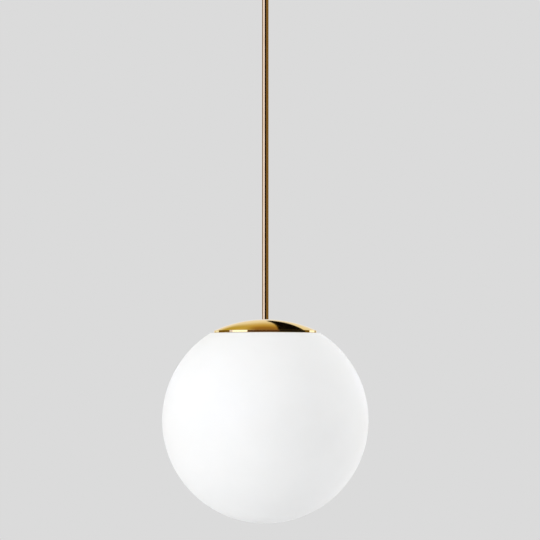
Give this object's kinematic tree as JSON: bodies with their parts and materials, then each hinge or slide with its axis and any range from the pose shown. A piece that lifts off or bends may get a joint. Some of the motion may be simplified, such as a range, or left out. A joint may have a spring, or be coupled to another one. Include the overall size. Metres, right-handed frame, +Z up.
{
  "type": "pendant ceiling light",
  "caption": "Pendant ceiling light: opal glass globe under a shallow polished-brass cap on a rigid brass stem that swings from a ball joint in a ceiling canopy.",
  "frame": {"origin": "on the ceiling plane, where the stem's axis meets the top face of the ceiling plate", "axes": "+Z up, along the stem into the ceiling; +X to the right and -Y towards the viewer in the picture"},
  "size_m": [0.32, 0.32, 0.8776],
  "materials": {
    "polished_brass": "polished, lacquered",
    "zinc_steel": "zinc plated",
    "spring_steel": "bright",
    "contact_brass": "plain",
    "block_plastic": "moulded",
    "seat_nylon": "satin",
    "gasket_silicone": "matte",
    "live_insulation": "smooth",
    "neutral_insulation": "smooth",
    "earth_insulation": "smooth",
    "holder_plastic": "moulded, black",
    "porcelain": "glazed",
    "lamp_metal": "rolled",
    "lamp_insulation": "smooth",
    "lamp_plastic": "satin",
    "lamp_opal": "opal",
    "opal_glass": "opal, satin matt outside"
  },
  "bodies": {
    "ceiling_fixture": {"ceiling_plate": "zinc_steel", "canopy": "polished_brass", "canopy_screws": "polished_brass", "terminal_block": "block_plastic", "terminal_sleeves": "contact_brass", "clamp_screws": "zinc_steel", "block_screws": "zinc_steel", "plate_lug": "zinc_steel", "earth_screw": "zinc_steel", "live_tail": "live_insulation", "neutral_tail": "neutral_insulation", "earth_tail": "earth_insulation"},
    "ball_seat": {"ball_seat": "seat_nylon"},
    "stem": {"swivel_ball": "polished_brass", "stem_lug": "zinc_steel", "stem_nut": "polished_brass", "stem": "polished_brass", "live_wire": "live_insulation", "neutral_wire": "neutral_insulation", "cap": "polished_brass", "holder_plate": "zinc_steel", "plate_nuts": "polished_brass", "plate_screws": "zinc_steel", "glass_gasket": "gasket_silicone", "glass_spring_1": "spring_steel", "glass_spring_2": "spring_steel", "glass_spring_3": "spring_steel", "spring_rivets": "zinc_steel", "lampholder_cap": "holder_plastic", "lampholder_insert": "porcelain", "edison_shell": "contact_brass", "centre_contact": "contact_brass", "lampholder_skirt": "holder_plastic"},
    "lamp_tip": {"lamp_contact": "lamp_metal"},
    "lamp": {"lamp_insulator": "lamp_insulation", "lamp_base": "lamp_metal", "lamp_housing": "lamp_plastic", "lamp_diffuser": "lamp_opal"},
    "globe": {"globe": "opal_glass"}
  },
  "joints": [
    {"name": "seat_turn", "type": "hinge", "parent": "ceiling_fixture", "child": "ball_seat", "pos_m": [0, 0, -0.032], "axis": [0, 0, 1], "range_deg": [-170, 170], "deforming": ["live_tail", "neutral_tail", "earth_tail"]},
    {"name": "stem_swing", "type": "hinge", "parent": "ball_seat", "child": "stem", "pos_m": [0, 0, -0.032], "axis": [1, 0, 0], "range_deg": [-25, 25], "deforming": ["live_tail", "neutral_tail", "earth_tail"]},
    {"name": "globe_drop", "type": "slide", "parent": "stem", "child": "globe", "axis": [0, 0, -1], "range_m": [0, 0.164], "deforming": ["glass_spring_1", "glass_spring_2", "glass_spring_3"]},
    {"name": "lamp_travel", "type": "slide", "parent": "stem", "child": "lamp_tip", "axis": [0, 0, -1], "range_m": [0, 0.01451]},
    {"name": "lamp_turn", "type": "hinge", "parent": "lamp_tip", "child": "lamp", "pos_m": [0, 0, -0.62468], "axis": [0, 0, -1], "range_deg": [0, 1440]}
  ],
  "couplings": [
    {"joint": "lamp_travel", "follows": "lamp_turn", "m_per_rad": 0.00057751}
  ]
}
